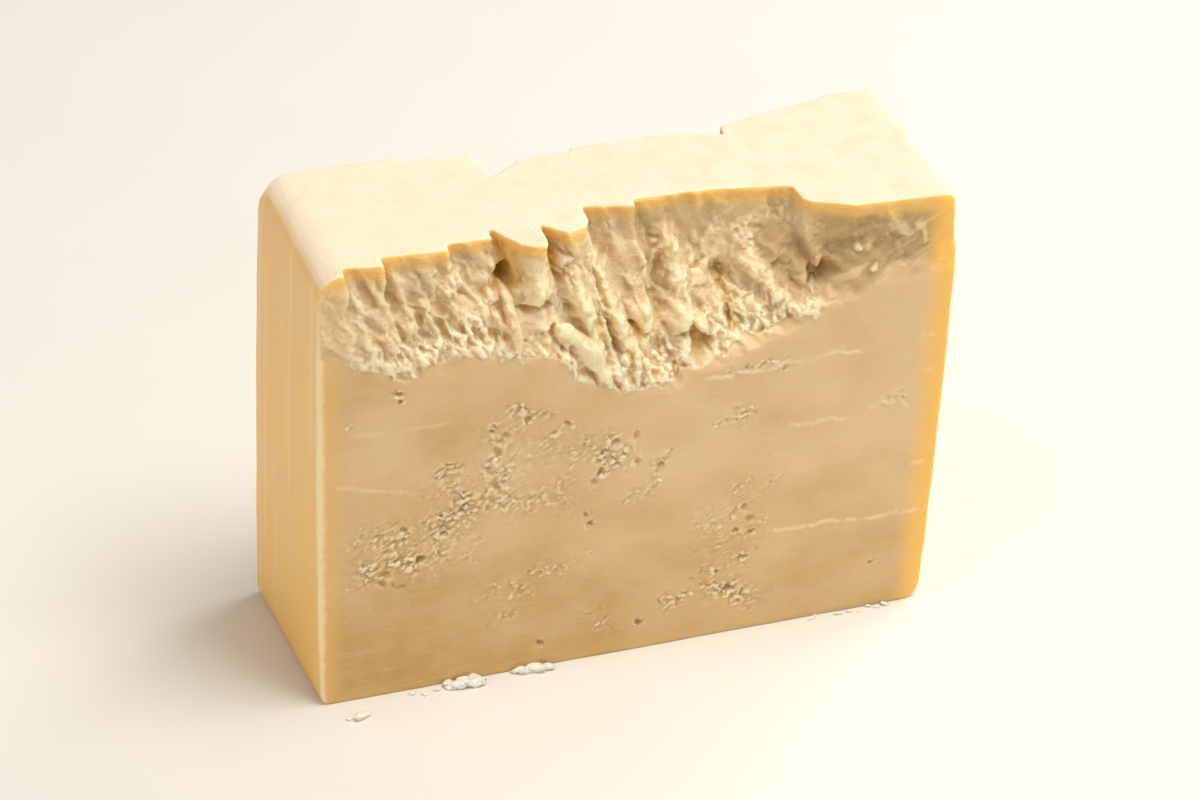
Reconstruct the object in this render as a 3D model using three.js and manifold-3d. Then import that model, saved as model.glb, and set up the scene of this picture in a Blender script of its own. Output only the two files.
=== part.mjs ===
// A slice from a small pressed loaf of asiago cheese, standing on its rind.
// The knife went up from the base through both long faces, and the cheese broke away above the cut.
// Millimetres, +Z up. The front face looks along -Y, and the origin is at the middle of the base.

import * as THREE from "three";
import { ImprovedNoise } from "three/addons/math/ImprovedNoise.js";
import { mergeVertices } from "three/addons/utils/BufferGeometryUtils.js";
import Module from "manifold-3d";

// Driving dimensions of the slice
const BASE_LENGTH = 116;
const LEFT_LEAN = 1.5; // how far the left end leans out at the top of the front face
const LEFT_SKEW = 1.3; // and how far out it stands at the back
const RIGHT_LEAN = 1;
const LEFT_HEIGHT = 91;
const RIGHT_HEIGHT = 87;
const LEFT_THICKNESS = 36.5;
const RIGHT_THICKNESS = 40;
const END_BULGE = 0.4; // pressed sides swell a little between their corners
const TOP_SAG = 0.5;
const RIND_RADIUS = { bottomLeft: 2, bottomRight: 4, topRight: 2, topLeft: 6 };
const CORNER_STEPS = 6;

// Each scar is where one lump of curd came away. It spans from..to along the top edge, measured from the
// left end. At those two ends its wall stands depth back from the cut face at the top, and runs out to
// that face at the height foot. A rough of 0 is a clean shell-like break, and 1 is all crags.
const FRONT_SCARS = [
  { from: -6, to: 3.4, depth: [1.4, 0.7], foot: [80, 77], rough: 0.3 },
  { from: 3.4, to: 10.9, depth: [3.6, 2.5], foot: [76.5, 69.5], rough: 0.7 },
  { from: 10.9, to: 23.2, depth: [5.6, 5.2], foot: [67.5, 69], rough: 0.9 },
  { from: 23.2, to: 31.8, depth: [7.4, 7.4], foot: [69, 67.5], rough: 0.9 },
  { from: 31.8, to: 41.3, depth: [10.2, 10.2], foot: [77, 78], rough: 0.4 },
  { from: 33, to: 43, depth: [7.2, 7.2], foot: [67.5, 67.5], rough: 0.12 },
  { from: 41.3, to: 45.2, depth: [10.2, 6.4], foot: [66, 62.5], rough: 0.8 },
  { from: 45.2, to: 50.3, depth: [6, 8.6], foot: [62.5, 59], rough: 0.9 },
  { from: 50.3, to: 60, depth: [14.2, 12.6], foot: [58.5, 56], rough: 1 },
  { from: 60, to: 75, depth: [14.5, 14.4], foot: [57, 60.5], rough: 0.8 },
  { from: 75, to: 89.5, depth: [14.2, 12.1], foot: [62, 67], rough: 0.5 },
  { from: 88.6, to: 97.5, depth: [7, 3.3], foot: [66.5, 70], rough: 0.15 },
  { from: 97.5, to: 124, depth: [3, 1.9], foot: [71, 73], rough: 0.2 },
];
const BACK_SCARS = [
  { from: -6, to: 24, depth: [2, 1], foot: [84, 80], rough: 0.3 },
  { from: 24, to: 38, depth: [2.6, 4], foot: [76, 70], rough: 0.8 },
  { from: 38, to: 44, depth: [11.4, 8.4], foot: [74, 72], rough: 0.7 },
  { from: 44, to: 55, depth: [7.6, 6.6], foot: [66, 62], rough: 1 },
  { from: 55, to: 78, depth: [5.6, 5.6], foot: [60, 63], rough: 1 },
  { from: 78, to: 84, depth: [7, 8.2], foot: [66, 69], rough: 0.8 },
  { from: 84, to: 106, depth: [5.2, 0.6], foot: [71, 82], rough: 0.4 },
];
const SCAR_LEAN = 0.12; // sideways drift of a scar for each millimetre down its wall
const SCOOP = 2.3; // how hard a wall curves out at its foot
const SCAR_WANDER = 1.6; // how far the sides of a scar stray on their way down
const SIDE_STEEPNESS = 30;
const FOOT_WANDER = 2; // the ragged line where the break runs out

// Ribs of curd left standing on the front break, and hollows torn out between them
const RIBS = [
  { from: [65.8, 81], to: [67.4, 68], width: 2, height: 2.4 },
  { from: [53, 77], to: [57.5, 61], width: 2.1, height: 2.2 },
  { from: [80.5, 75.2], to: [89.8, 67.3], width: 1.8, height: 2.4 },
];
const HOLLOWS = [
  { at: [34, 81], radius: 2.4, depth: 4 },
  { at: [75.5, 73], radius: 2.6, depth: 3 },
  { at: [79.5, 65], radius: 2.4, depth: 2.4 },
  { at: [93, 72], radius: 3.4, depth: 2.8 },
  { at: [62, 62], radius: 3.6, depth: 1.8 },
];

// Relief of the broken walls
const FLUTE_WIDTH = 3.2;
const FLUTE_LENGTH = 11;
const FLUTE_DEPTH = 1.2;
const FLUTE_LEAN = [0.55, 0.15]; // sideways drift of a flute going down, at the left and past the middle
const FLUTE_LEAN_ENDS = [12, 68];
const LUMP_SIZE = 2.3;
const LUMP_DEPTH = 0.7;
const RIND_LIP = 0.7; // the firmer rind overhangs the wall under it
const RIND_DEPTH = 2.2;
const NUGGET_SPACING = 0.9; // one curd nugget for so many millimetres of break
const NUGGET_RADIUS = [1.2, 2.4];
const NUGGET_REACH = [0.1, 0.55]; // how far up its wall a nugget may stand
const NUGGET_STRETCH = 1.4;
const SHALLOWEST = 0.3; // curd left standing on a break stays this far behind the cut face
const RELIEF_STEP = 1.3;
const EDGE_WIDTH = 0.3; // a scar drops off to the next within this width
const RELIEF_MARGIN = 4;

// A shard of rind that still hangs in the deepest notch. Its plan is set back from the front face.
const SHARD_PLAN = [
  [32.4, 10.4],
  [36.2, 4.1],
  [37.9, 3],
  [40.1, 2.2],
  [40.9, 3.7],
  [41.4, 10.4],
];
const SHARD_TIP = [39.7, 4.2];
const SHARD_DROP = 12.5;

// A lumpy finger of curd that curls out of the break
const FINGER = { from: [44.2, 71.2], to: [51, 61.4], setBack: [1.4, 0.6], radius: 1.55, bow: 0.8 };
const FINGER_BEADS = 6;

// Small openings left in the pressed curd, in loose groups on the knife-cut faces
const FRONT_OPENING_GROUPS = [
  { at: [33, 48], spread: [3, 8], count: 7 },
  { at: [17, 30], spread: [8, 7], count: 9 },
  { at: [54, 44], spread: [5, 5], count: 5 },
  { at: [80, 30], spread: [4, 9], count: 5 },
  { at: [74, 11], spread: [8, 4], count: 5 },
];
const BACK_OPENING_GROUPS = [
  { at: [28, 40], spread: [10, 9], count: 8 },
  { at: [66, 30], spread: [9, 12], count: 8 },
  { at: [95, 22], spread: [6, 9], count: 5 },
];
const OPENING_RADIUS = [0.5, 1];

const noise = new ImprovedNoise();
const wasm = await Module();
wasm.setup();

const { clamp, lerp, smoothstep: smooth } = THREE.MathUtils;
const draw = (low, high) => lerp(low, high, THREE.MathUtils.seededRandom());

const topAt = (u) => lerp(LEFT_HEIGHT, RIGHT_HEIGHT, u / BASE_LENGTH);
const thicknessAt = (u) => lerp(LEFT_THICKNESS, RIGHT_THICKNESS, u / BASE_LENGTH);

// The two long faces: where each lies, which way is into the cheese, and what marks it
const FRONT = {
  plane: () => 0,
  inward: 1,
  scars: FRONT_SCARS,
  ribs: RIBS,
  hollows: HOLLOWS,
  openings: FRONT_OPENING_GROUPS,
  seed: 3.7,
};
const BACK = {
  plane: thicknessAt,
  inward: -1,
  scars: BACK_SCARS,
  ribs: [],
  hollows: [],
  openings: BACK_OPENING_GROUPS,
  seed: 21.4,
};

// A closed three.js geometry as a solid for joining and cutting
function toSolid(geometry) {
  const bare = geometry.clone();
  bare.deleteAttribute("normal");
  bare.deleteAttribute("uv");
  const merged = mergeVertices(bare, 1e-4);
  return new wasm.Manifold(
    new wasm.Mesh({
      numProp: 3,
      vertProperties: new Float32Array(merged.attributes.position.array),
      triVerts: new Uint32Array(merged.index.array),
    }),
  );
}

// A solid back as a geometry with flat faces
function toGeometry(solid) {
  const mesh = solid.getMesh();
  const geometry = new THREE.BufferGeometry();
  geometry.setAttribute("position", new THREE.BufferAttribute(mesh.vertProperties, 3));
  geometry.setIndex(new THREE.BufferAttribute(mesh.triVerts, 1));
  const faceted = geometry.toNonIndexed();
  faceted.computeVertexNormals();
  return faceted;
}

// Moves every vertex of a geometry by a rule
function reshape(geometry, rule) {
  const position = geometry.attributes.position;
  const point = new THREE.Vector3();
  for (let i = 0; i < position.count; i += 1) {
    rule(point.fromBufferAttribute(position, i));
    position.setXYZ(i, point.x, point.y, point.z);
  }
  return geometry;
}

// Upright outline of the loaf: rounded rind corners, swollen ends and a top that sags a little
function loafOutline() {
  const corners = [
    { at: new THREE.Vector2(0, 0), radius: RIND_RADIUS.bottomLeft },
    { at: new THREE.Vector2(BASE_LENGTH, 0), radius: RIND_RADIUS.bottomRight },
    { at: new THREE.Vector2(BASE_LENGTH + RIGHT_LEAN, RIGHT_HEIGHT), radius: RIND_RADIUS.topRight },
    { at: new THREE.Vector2(0, LEFT_HEIGHT), radius: RIND_RADIUS.topLeft },
  ];
  const sideBulge = [0, END_BULGE, -TOP_SAG, END_BULGE];
  const outline = new THREE.Shape();
  corners.forEach((corner, i) => {
    const next = corners[(i + 1) % corners.length];
    const along = next.at.clone().sub(corner.at).normalize();
    const outward = new THREE.Vector2(along.y, -along.x);
    const start = corner.at.clone().addScaledVector(along, corner.radius);
    const end = next.at.clone().addScaledVector(along, -next.radius);
    const middle = start.clone().lerp(end, 0.5).addScaledVector(outward, 2 * sideBulge[i]);
    if (i === 0) outline.moveTo(start.x, start.y);
    if (sideBulge[i] === 0) outline.lineTo(end.x, end.y);
    else outline.quadraticCurveTo(middle.x, middle.y, end.x, end.y);
    const turn = corners[(i + 2) % corners.length].at.clone().sub(next.at).normalize();
    const after = next.at.clone().addScaledVector(turn, next.radius);
    outline.quadraticCurveTo(next.at.x, next.at.y, after.x, after.y);
  });
  return outline;
}

// The slice before it broke: the outline swept through a tapering thickness, its left end a little askew
function wholeSlice() {
  const geometry = new THREE.ExtrudeGeometry(loafOutline(), {
    depth: 1,
    bevelEnabled: false,
    curveSegments: CORNER_STEPS,
  });
  geometry.rotateX(Math.PI / 2);
  return reshape(geometry, (p) => {
    const back = 1 + p.y;
    const askew = lerp((LEFT_LEAN * p.z) / LEFT_HEIGHT, LEFT_SKEW, back);
    p.y = back * thicknessAt(p.x);
    p.x -= askew * (1 - p.x / BASE_LENGTH);
  });
}

// Curd nuggets that stand out of a broken wall, thickest near its foot
function scatterNuggets(scars) {
  const nuggets = [];
  for (const scar of scars) {
    const crowd = (scar.rough * Math.sqrt(scar.depth[0])) / 2;
    const count = Math.round((crowd * (scar.to - scar.from)) / NUGGET_SPACING);
    for (let i = 0; i < count; i += 1) {
      const along = draw(0, 1);
      const up = draw(0, 1) * draw(...NUGGET_REACH);
      const foot = lerp(...scar.foot, along);
      const radius = draw(...NUGGET_RADIUS);
      nuggets.push({
        u: lerp(scar.from, scar.to, along) + SCAR_LEAN * (1 - up) * (LEFT_HEIGHT - foot),
        z: lerp(foot, LEFT_HEIGHT, up),
        radius,
        height: radius * draw(0.5, 0.85),
      });
    }
  }
  return nuggets;
}

// Where a column that starts at the top edge has drifted to at a height
function driftTo(face, column, z) {
  const fall = Math.max(topAt(column) - z, 0);
  const stray = noise.noise(column / 6, z / 8, face.seed + 11) * smooth(fall, 1, 10);
  return column + SCAR_LEAN * fall + SCAR_WANDER * stray;
}

// The plain scoops of a break on one column at a height: how deep, and how rough
function scoop(face, column, u, height) {
  const top = topAt(u);
  const wander = noise.noise(u / 5, 0.5, face.seed) + noise.noise(u / 2.2, 7.5, face.seed);
  let deepest = { depth: -RELIEF_MARGIN, rough: 0 };
  for (const scar of face.scars) {
    const along = clamp((column - scar.from) / (scar.to - scar.from), 0, 1);
    const outside = Math.max(scar.from - column, column - scar.to, 0);
    const foot = lerp(...scar.foot, along) + FOOT_WANDER * scar.rough * wander;
    const rise = (height - foot) / (top - foot);
    const wall = rise > 0 ? 1 - (1 - rise) ** SCOOP : rise * SCOOP;
    const depth = lerp(...scar.depth, along) * wall - SIDE_STEEPNESS * outside;
    if (depth > deepest.depth) deepest = { depth, rough: scar.rough };
  }
  return deepest;
}

// How far a rib stands out of the wall at a point of the face
function ribHeight(rib, u, z) {
  const point = new THREE.Vector3(u, 0, z);
  const line = new THREE.Line3(
    new THREE.Vector3(rib.from[0], 0, rib.from[1]),
    new THREE.Vector3(rib.to[0], 0, rib.to[1]),
  );
  const near = line.closestPointToPoint(point, true, new THREE.Vector3()).distanceTo(point) / rib.width;
  return near < 1 ? rib.height * Math.sqrt(1 - near * near) : 0;
}

// How far the broken surface lies behind a cut face. Below zero it is in front of the face.
function breakDepth(face, nuggets, column, u, z) {
  const top = topAt(u);
  const height = Math.min(z, top);
  const { depth: plain, rough } = scoop(face, column, u, height);
  const broken = smooth(plain, 0, 1.2);
  const underRind = smooth(top - height, 0, RIND_DEPTH);
  const lean = lerp(...FLUTE_LEAN, smooth(u, ...FLUTE_LEAN_ENDS));
  const start = u - lean * (top - height);
  const groove = noise.noise(start / FLUTE_WIDTH, height / FLUTE_LENGTH, face.seed);
  const flute = 0.9 - 2 * Math.abs(groove);
  const lump = noise.noise(u / LUMP_SIZE, height / LUMP_SIZE, face.seed + 5);
  let standOut = rough * underRind * (FLUTE_DEPTH * flute + LUMP_DEPTH * lump);
  standOut += (1 - underRind) * RIND_LIP * rough;
  for (const rib of face.ribs) standOut += underRind * ribHeight(rib, u, height);
  for (const hollow of face.hollows) {
    const away = Math.hypot(u - hollow.at[0], height - hollow.at[1]) / hollow.radius;
    standOut -= hollow.depth * (1 - smooth(away, 0.2, 1));
  }
  let nuggetHeight = 0;
  for (const nugget of nuggets) {
    const du = (u - nugget.u + 0.35 * (height - nugget.z)) / nugget.radius;
    const dz = (height - nugget.z) / (nugget.radius * NUGGET_STRETCH);
    const inside = 1 - du * du - dz * dz;
    if (inside > 0) nuggetHeight = Math.max(nuggetHeight, nugget.height * Math.sqrt(inside));
  }
  const depth = plain - broken * (standOut + underRind * nuggetHeight);
  return Math.max(depth, Math.min(plain, SHALLOWEST));
}

// Columns of the broken surface: a close pair at each end of a scar, and even steps between
function columnPlaces(scars) {
  const left = -2 * RELIEF_MARGIN;
  const right = BASE_LENGTH + RELIEF_MARGIN;
  const ends = scars.flatMap((scar) => [scar.from, scar.to]).filter((end) => end < right);
  const edges = [...new Set(ends), right].sort((a, b) => a - b);
  const places = [left];
  for (const edge of edges) {
    const start = places.at(-1);
    const stop = edge - EDGE_WIDTH / 2;
    const count = Math.max(Math.round((stop - start) / RELIEF_STEP), 1);
    for (let i = 1; i <= count; i += 1) places.push(lerp(start, stop, i / count));
    places.push(edge + EDGE_WIDTH / 2);
  }
  return places;
}

// The lumps that came away from one long face, as a block with the broken surface on its inner side
function brokenAway(face) {
  const nuggets = scatterNuggets(face.scars);
  const places = columnPlaces(face.scars);
  const steps = places.length - 1;
  const low = Math.min(...face.scars.flatMap((scar) => scar.foot)) - RELIEF_MARGIN;
  const high = LEFT_HEIGHT + RELIEF_MARGIN;
  const rows = Math.round((high - low) / RELIEF_STEP);
  const block = new THREE.BoxGeometry(steps, 1, high - low, steps, 1, rows);
  block.translate(steps / 2, 0, (low + high) / 2);
  return reshape(block, (p) => {
    const inner = p.y * face.inward > 0;
    const column = places[Math.round(p.x)];
    p.x = driftTo(face, column, p.z);
    const depth = inner ? breakDepth(face, nuggets, column, p.x, p.z) : -2 * RELIEF_MARGIN;
    p.y = face.plane(p.x) + face.inward * depth;
  });
}

// The shard of rind: its plan drawn down from the top to a blunt tip
function hangingShard() {
  const plan = new THREE.Shape(SHARD_PLAN.map(([u, y]) => new THREE.Vector2(u, y)));
  const wedge = new THREE.ExtrudeGeometry(plan, { depth: 1, steps: 4, bevelEnabled: false });
  return reshape(wedge, (p) => {
    const down = 1 - p.z;
    p.z = topAt(p.x) - TOP_SAG - SHARD_DROP * down;
    p.x = lerp(p.x, SHARD_TIP[0], 0.85 * down);
    p.y = lerp(p.y, SHARD_TIP[1], 0.85 * down);
  });
}

// The finger of curd: a bowed row of beads laid down the broken wall
function curdFinger() {
  const beads = [];
  for (let i = 0; i < FINGER_BEADS; i += 1) {
    const t = i / (FINGER_BEADS - 1);
    const bow = FINGER.bow * Math.sin(Math.PI * t);
    const bead = new THREE.SphereGeometry(FINGER.radius * draw(0.8, 1.1), 8, 6);
    bead.rotateZ(draw(0, Math.PI));
    bead.scale(1, 0.9, 1.6);
    bead.rotateY(Math.atan2(FINGER.from[0] - FINGER.to[0], FINGER.from[1] - FINGER.to[1]));
    bead.translate(
      lerp(FINGER.from[0], FINGER.to[0], t) + bow,
      lerp(...FINGER.setBack, t),
      lerp(FINGER.from[1], FINGER.to[1], t) + bow,
    );
    beads.push(bead);
  }
  return beads;
}

// Uneven pockets that open on a cut face
function openings(face) {
  const pockets = [];
  for (const group of face.openings) {
    for (let i = 0; i < group.count; i += 1) {
      const radius = draw(...OPENING_RADIUS);
      const u = group.at[0] + group.spread[0] * draw(-1, 1);
      const z = group.at[1] + group.spread[1] * draw(-1, 1);
      const pocket = new THREE.IcosahedronGeometry(radius, 0);
      pocket.scale(draw(0.9, 1.8), draw(0.5, 0.9), draw(0.7, 1.1));
      pocket.rotateY(draw(0, Math.PI));
      pocket.translate(u, face.plane(u) + face.inward * 0.2 * radius, z);
      pockets.push(pocket);
    }
  }
  return pockets;
}

function cheesePiece() {
  THREE.MathUtils.seededRandom(41);
  let solid = toSolid(wholeSlice());
  for (const face of [FRONT, BACK]) solid = solid.subtract(toSolid(brokenAway(face)));
  for (const left of [hangingShard(), ...curdFinger()]) solid = solid.add(toSolid(left));
  for (const face of [FRONT, BACK]) {
    for (const pocket of openings(face)) solid = solid.subtract(toSolid(pocket));
  }
  const geometry = toGeometry(solid);
  geometry.computeBoundingBox();
  const { min, max } = geometry.boundingBox;
  geometry.translate(-(min.x + max.x) / 2, -(min.y + max.y) / 2, -min.z);
  return geometry;
}

const paste = new THREE.MeshStandardMaterial({ color: 0xf1ddb0, roughness: 0.55, metalness: 0 });
const cheese = new THREE.Mesh(cheesePiece(), paste);
cheese.name = "cheese_piece";

const part = new THREE.Group();
part.add(cheese);

export default part;
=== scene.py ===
"""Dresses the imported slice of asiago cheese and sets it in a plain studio."""

import logging
import math
from dataclasses import dataclass, field
from enum import Enum
from itertools import product
from typing import Any, Sequence, Union

import bmesh
import bpy
import numpy as np
from mathutils import Matrix, Vector


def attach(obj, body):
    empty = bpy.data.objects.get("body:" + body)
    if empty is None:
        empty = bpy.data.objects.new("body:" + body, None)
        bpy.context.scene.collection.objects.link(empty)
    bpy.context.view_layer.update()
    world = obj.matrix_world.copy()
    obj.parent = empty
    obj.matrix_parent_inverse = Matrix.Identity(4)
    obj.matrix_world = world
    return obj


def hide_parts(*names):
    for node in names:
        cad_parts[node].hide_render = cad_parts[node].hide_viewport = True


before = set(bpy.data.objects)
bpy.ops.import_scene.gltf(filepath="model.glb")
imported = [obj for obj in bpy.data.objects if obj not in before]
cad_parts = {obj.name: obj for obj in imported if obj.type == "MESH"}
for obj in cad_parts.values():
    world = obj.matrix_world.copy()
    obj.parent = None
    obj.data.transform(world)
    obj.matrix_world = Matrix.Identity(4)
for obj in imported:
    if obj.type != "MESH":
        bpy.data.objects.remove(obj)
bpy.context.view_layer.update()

LOG = logging.getLogger("cheese")
MM = 0.001

Array = np.ndarray
Colour = tuple[float, float, float]
Triple = tuple[float, float, float]
Spot = tuple[float, float]
Socket = bpy.types.NodeSocket


def smoothstep(low: float, high: float, values: Array) -> Array:
    """Eases values from 0 at low to 1 at high, which may lie below low."""
    t = np.clip((values - low) / (high - low), 0.0, 1.0)
    return t * t * (3.0 - 2.0 * t)


def path_distance(u: Array, z: Array, path: Sequence[Spot]) -> Array:
    """Distance of points on a long face from a path drawn on it.

    Args:
        u: Distances along the slice.
        z: Heights.
        path: One spot, or the corners of the path.

    Returns:
        The distances.
    """
    nearest = np.hypot(u - path[0][0], z - path[0][1])
    for (u0, z0), (u1, z1) in zip(path, path[1:]):
        run, rise = u1 - u0, z1 - z0
        share = np.clip(((u - u0) * run + (z - z0) * rise) / (run * run + rise * rise), 0.0, 1.0)
        nearest = np.minimum(nearest, np.hypot(u - u0 - share * run, z - z0 - share * rise))
    return nearest


def make_object(name: str, bm: bmesh.types.BMesh) -> bpy.types.Object:
    """Puts a finished shape into the scene.

    Args:
        name: The name of the object and its mesh.
        bm: The shape, freed afterwards.

    Returns:
        The new object.
    """
    mesh = bpy.data.meshes.new(name)
    bm.to_mesh(mesh)
    bm.free()
    made = bpy.data.objects.new(name, mesh)
    bpy.context.collection.objects.link(made)
    return made


# Seeded textures for moving points


class Curd:
    """Seeded noise over arrays of points, for the grain of the cheese."""

    TABLE = 512
    GAIN = 1.7
    FADING = 0.55
    RIDGE_FADING = 0.5
    CREASE = 0.8

    def __init__(self, seed: int) -> None:
        """Draws the tables that the noise reads.

        Args:
            seed: Makes one grain differ from the next.
        """
        rng = np.random.default_rng(seed)
        self.order = rng.permutation(self.TABLE)
        slopes = rng.normal(size=(self.TABLE, 3))
        self.slopes = slopes / np.linalg.norm(slopes, axis=1, keepdims=True)
        self.spots = rng.random((self.TABLE, 3))

    def _pick(self, cells: Array) -> Array:
        """Gives every lattice cell its place in the tables.

        Args:
            cells: Whole numbers, one cell to a row.

        Returns:
            The places.
        """
        mixed = self.order[cells[:, 0] % self.TABLE]
        mixed = self.order[(mixed + cells[:, 1]) % self.TABLE]
        return self.order[(mixed + cells[:, 2]) % self.TABLE]

    def noise(self, points: Array) -> Array:
        """Smooth noise, about -1 to 1.

        Args:
            points: Points in units of one noise cell, one to a row.

        Returns:
            One value for each point.
        """
        cells = np.floor(points).astype(np.int64)
        local = points - cells
        fade = local * local * local * (local * (local * 6.0 - 15.0) + 10.0)
        total = np.zeros(len(points))
        for corner in product((0, 1), repeat=3):
            offset = np.array(corner)
            slope = self.slopes[self._pick(cells + offset)]
            weight = np.prod(np.where(offset == 1, fade, 1.0 - fade), axis=1)
            total += weight * np.einsum("ij,ij->i", local - offset, slope)
        return total * self.GAIN

    def fractal(self, points: Array, octaves: int) -> Array:
        """Noise with finer noise on it.

        Args:
            points: Points in units of the coarsest cell.
            octaves: How many sizes of noise are summed.

        Returns:
            One value for each point, about -1 to 1.
        """
        total = np.zeros(len(points))
        for octave in range(octaves):
            total += self.noise(points * 2.0**octave + 7.3 * octave) * self.FADING**octave
        return total

    def ridged(self, points: Array, octaves: int) -> Array:
        """Torn curd: sharp ridges with smooth hollows between them, and finer ones on the ridges.

        Args:
            points: Points in units of the coarsest cell.
            octaves: How many sizes of ridges are summed.

        Returns:
            One value for each point, about 0 in the hollows to 1 on the ridges.
        """
        total = np.zeros(len(points))
        weight = np.ones(len(points))
        for octave in range(octaves):
            swell = np.abs(self.noise(points * 2.0**octave + 9.1 * octave))
            sharp = np.clip(1.0 - 1.5 * swell, 0.0, 1.0) ** 2
            total += weight * sharp * self.RIDGE_FADING**octave
            weight = np.clip(1.6 * sharp, 0.0, 1.0)
        return total

    def flakes(self, points: Array) -> tuple[Array, Array]:
        """Broken grains that fill space side by side, each with a face that tilts its own way.

        Args:
            points: Points in units of one grain.

        Returns:
            How high each point stands on its grain, from 0 in the creases to 1 at the middle,
            and the height of the grain's tilted face, about -0.5 to 0.5.
        """
        cells = np.floor(points).astype(np.int64)
        nearest = np.full(len(points), 9.0)
        second = np.full(len(points), 9.0)
        tilt = np.zeros(len(points))
        for corner in product((-1, 0, 1), repeat=3):
            neighbour = cells + np.array(corner)
            pick = self._pick(neighbour)
            offset = points - neighbour - self.spots[pick]
            distance = np.linalg.norm(offset, axis=1)
            closer = distance < nearest
            second = np.where(closer, nearest, np.minimum(second, distance))
            tilt = np.where(closer, np.einsum("ij,ij->i", offset, self.slopes[pick]), tilt)
            nearest = np.where(closer, distance, nearest)
        return np.clip((second - nearest) / self.CREASE, 0.0, 1.0), tilt


class Web:
    """The edges of a mesh, for averaging over neighbours."""

    def __init__(self, mesh: bpy.types.Mesh) -> None:
        """Reads the edges.

        Args:
            mesh: The mesh.
        """
        ends = np.empty(len(mesh.edges) * 2, dtype=np.int64)
        mesh.edges.foreach_get("vertices", ends)
        self.here, self.there = np.concatenate((ends.reshape(-1, 2), ends.reshape(-1, 2)[:, ::-1])).T
        self.count = np.maximum(np.bincount(self.here, minlength=len(mesh.vertices)), 1)

    def soften(self, rows: Array, rounds: int, share: Array | float = 1.0) -> Array:
        """Draws every row half way to the mean of its neighbours, again and again.

        Args:
            rows: One row for each vertex.
            rounds: How many times.
            share: How much of each move is made.

        Returns:
            The softened rows.
        """
        for _ in range(rounds):
            sums = [np.bincount(self.here, column[self.there], len(rows)) for column in rows.T]
            mean = np.stack(sums, axis=1) / self.count[:, None]
            rows = rows + (mean - rows) * 0.5 * np.reshape(share, (-1, 1))
        return rows


# Shader expressions


class Signal:
    """A shader value. An expression on signals adds the Math nodes that work it out."""

    def __init__(self, finish: "Finish", socket: Socket) -> None:
        """Wraps an output socket of a finish."""
        self.finish = finish
        self.socket = socket

    def _math(self, operation: str, *values: "Number") -> "Signal":
        """Adds a Math node.

        Args:
            operation: The node's operation.
            values: Its inputs in order.

        Returns:
            The node's result.
        """
        sockets = dict(enumerate(values))
        node = self.finish.node("ShaderNodeMath", {"operation": operation}, sockets)
        return Signal(self.finish, node.outputs[0])

    def __add__(self, other: "Number") -> "Signal":
        """Sum."""
        return self._math("ADD", self, other)

    __radd__ = __add__

    def __sub__(self, other: "Number") -> "Signal":
        """Difference."""
        return self._math("SUBTRACT", self, other)

    def __rsub__(self, other: "Number") -> "Signal":
        """Difference from a plain number."""
        return self._math("SUBTRACT", other, self)

    def __mul__(self, other: "Number") -> "Signal":
        """Product."""
        return self._math("MULTIPLY", self, other)

    __rmul__ = __mul__

    def __abs__(self) -> "Signal":
        """Size without its sign."""
        return self._math("ABSOLUTE", self)

    def scaled(self, factor: "Number", offset: "Number") -> "Signal":
        """Product with a factor, plus an offset."""
        return self._math("MULTIPLY_ADD", self, factor, offset)

    def least(self, other: "Number") -> "Signal":
        """The smaller of two."""
        return self._math("MINIMUM", self, other)

    def most(self, other: "Number") -> "Signal":
        """The larger of two."""
        return self._math("MAXIMUM", self, other)

    def step(self, low: float, high: float) -> "Signal":
        """Eases from 0 at low to 1 at high.

        Args:
            low: Where the ramp starts.
            high: Where the ramp ends. It may lie below low, and the ramp then falls.

        Returns:
            The eased signal.
        """
        start, end, first, last = (low, high, 0.0, 1.0) if low < high else (high, low, 1.0, 0.0)
        node = self.finish.node(
            "ShaderNodeMapRange",
            {"interpolation_type": "SMOOTHSTEP", "clamp": True},
            {"Value": self, "From Min": start, "From Max": end, "To Min": first, "To Max": last},
        )
        return Signal(self.finish, node.outputs[0])


Number = Union[Signal, float]


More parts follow.
